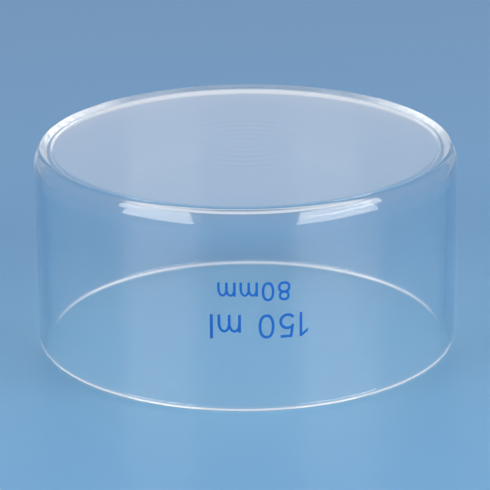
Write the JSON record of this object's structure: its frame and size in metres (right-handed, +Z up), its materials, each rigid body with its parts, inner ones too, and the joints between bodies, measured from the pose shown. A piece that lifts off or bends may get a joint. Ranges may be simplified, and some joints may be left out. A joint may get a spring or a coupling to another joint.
{
  "type": "crystallizing dish",
  "caption": "Shallow clear glass laboratory dish with a melted rim, round heel, flat base and blue enamel size and capacity marks, stored upside down on its rim.",
  "frame": {"origin": "centre of the rim's circle, on the surface that the rim stands on, with the dish upside down", "axes": "+Z up along the dish's axis, from the rim to the flat base, so the mouth opens towards -Z; the enamel marks face -Y and read the right way up once the dish is turned over onto its base"},
  "size_m": [0.08, 0.0804, 0.0385],
  "materials": {
    "clear_glass": "clear, polished, melted rim",
    "blue_enamel": "satin, printed and fired on"
  },
  "bodies": {
    "root": {"glass_dish": "clear_glass", "size_mark_digit_8": "blue_enamel", "size_mark_digit_0": "blue_enamel", "size_mark_letter_m_first": "blue_enamel", "size_mark_letter_m_second": "blue_enamel", "capacity_mark_digit_1": "blue_enamel", "capacity_mark_digit_5": "blue_enamel", "capacity_mark_digit_0": "blue_enamel", "capacity_mark_letter_m": "blue_enamel", "capacity_mark_letter_l": "blue_enamel"}
  },
  "joints": []
}
